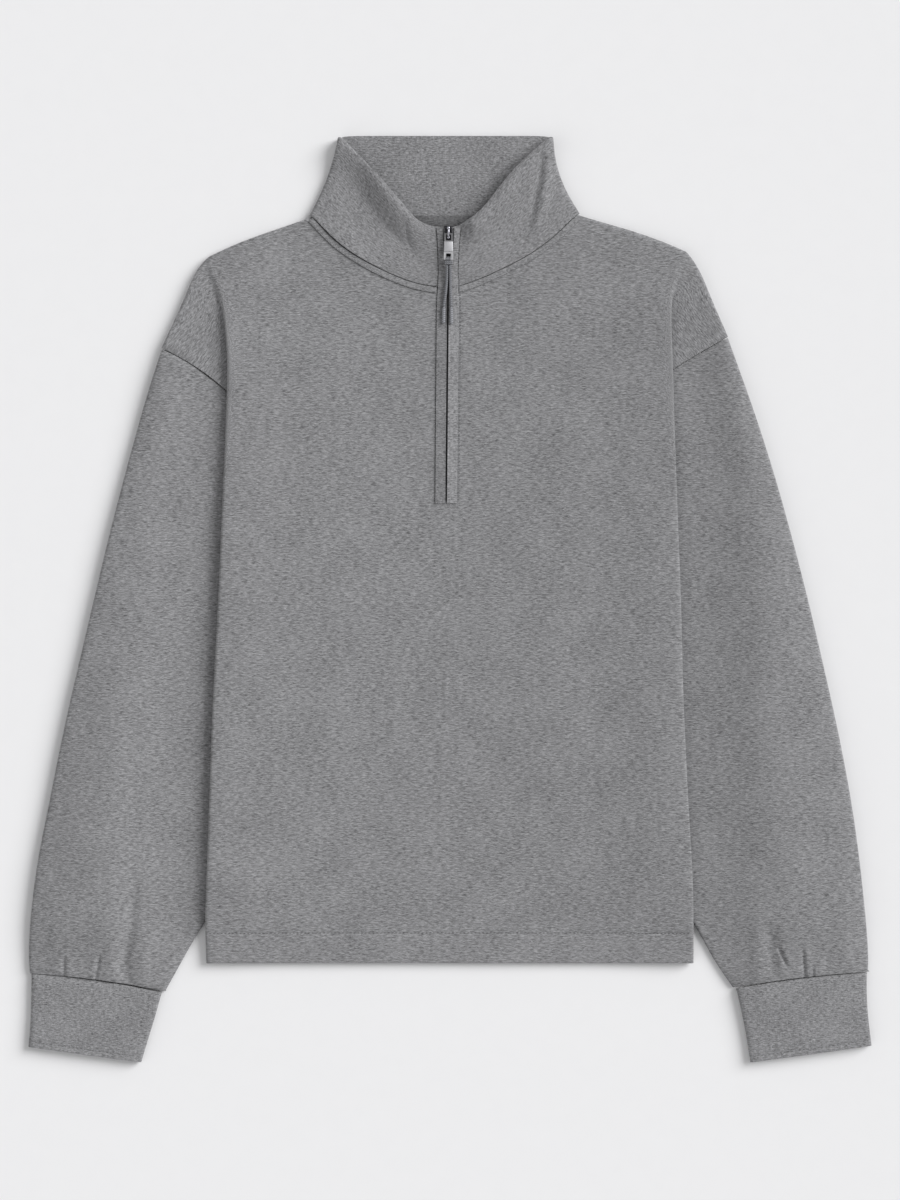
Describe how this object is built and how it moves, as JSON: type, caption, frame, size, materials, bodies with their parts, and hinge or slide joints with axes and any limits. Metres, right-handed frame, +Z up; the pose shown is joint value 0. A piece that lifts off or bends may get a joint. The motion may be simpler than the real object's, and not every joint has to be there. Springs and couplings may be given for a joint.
{
  "type": "half zip sweatshirt",
  "caption": "Grey jersey sweatshirt laid flat on its back, with a half zip, stand collar, drop shoulders, long sleeves turned down under the body, cuffs and a cord zip puller.",
  "frame": {"origin": "middle of the garment's bounding box, on the surface it lies on", "axes": "+X across the garment to the right of someone who looks at its front, +Y from hem to collar, +Z up out of the front panel"},
  "size_m": [0.6908, 0.7586, 0.0156],
  "materials": {
    "jersey": "grey melange cotton jersey, matt, faintly streaked",
    "zip_tape": "dark woven tape",
    "zip_chain": "dark metal teeth",
    "gunmetal": "dark polished metal",
    "silver": "matt silver",
    "cord": "round grey cord"
  },
  "bodies": {
    "garment": {"front": "jersey", "back": "jersey", "collar": "jersey", "sleeve_left": "jersey", "sleeve_right": "jersey", "cuff_left": "jersey", "cuff_right": "jersey", "neck_strip_left": "jersey", "neck_strip_right": "jersey", "zip_strip_left": "jersey", "zip_strip_right": "jersey", "zip_tape_left": "zip_tape", "zip_tape_right": "zip_tape", "zip_chain": "zip_chain", "zip_slider": "gunmetal"},
    "pull": {"zip_pull": "silver", "pull_loop": "cord", "cord_left": "cord", "cord_right": "cord", "cord_tip_left": "cord", "cord_tip_right": "cord"}
  },
  "joints": [
    {"name": "pull_hinge", "type": "hinge", "parent": "garment", "child": "pull", "pos_m": [-0.0012, 0.29813, 0.01273], "axis": [-1, 0, 0], "range_deg": [0, 140]}
  ]
}
